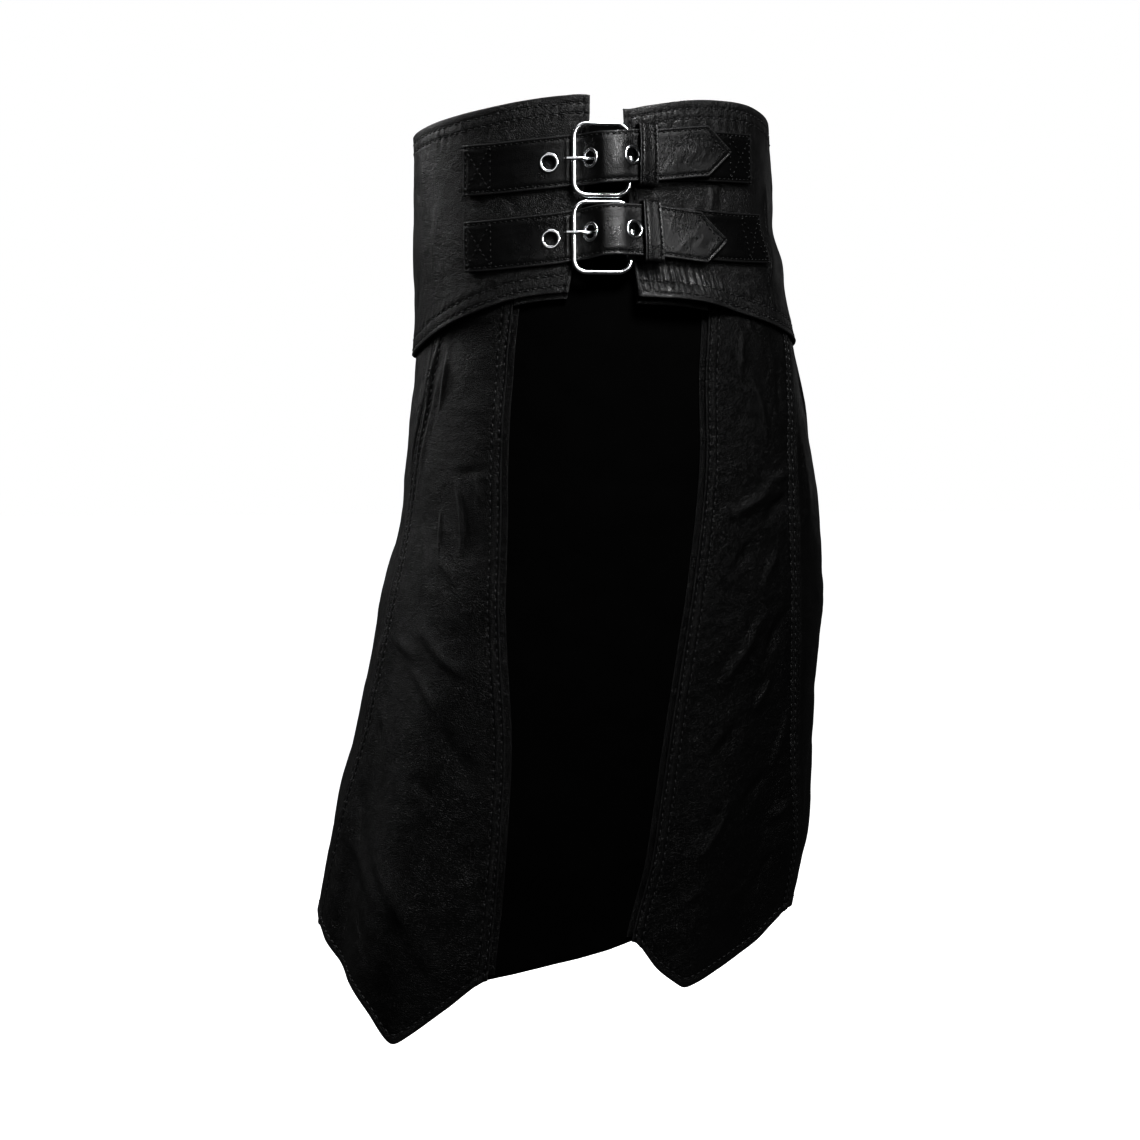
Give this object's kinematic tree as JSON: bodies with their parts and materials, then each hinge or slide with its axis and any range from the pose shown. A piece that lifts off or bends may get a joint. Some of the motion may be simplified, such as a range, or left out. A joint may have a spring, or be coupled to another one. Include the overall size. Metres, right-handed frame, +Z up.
{
  "type": "leather kilt",
  "caption": "Worn-form black leather kilt: a wide curved yoke, flared panels with pointed front hems, and buckled straps across the front opening.",
  "frame": {"origin": "middle of the waist, inside the yoke where the wearer holds the kilt up", "axes": "+Z up along the body, -Y towards the wearer's front, +X towards the viewer's right"},
  "size_m": [0.389, 0.2716, 0.6656],
  "materials": {
    "leather": "soft black garment leather, fine grain, half gloss",
    "underlay": "plain black, matt",
    "chrome": "polished",
    "thread": "waxed black thread"
  },
  "bodies": {
    "root": {"yoke": "leather", "yoke_facing_left": "leather", "yoke_facing_right": "leather", "panel_front_left": "leather", "panel_side_left": "leather", "panel_back_left": "leather", "panel_back_right": "leather", "panel_side_right": "leather", "panel_front_right": "leather", "edge_facing_left": "leather", "edge_facing_right": "leather", "underlay": "underlay", "strap_upper": "leather", "chape_upper": "leather", "keeper_upper": "leather", "buckle_upper": "chrome", "prong_upper": "chrome", "eyelet_upper_1": "chrome", "eyelet_upper_2": "chrome", "eyelet_upper_3": "chrome", "strap_lower": "leather", "chape_lower": "leather", "keeper_lower": "leather", "buckle_lower": "chrome", "prong_lower": "chrome", "eyelet_lower_1": "chrome", "eyelet_lower_2": "chrome", "eyelet_lower_3": "chrome"}
  },
  "joints": []
}
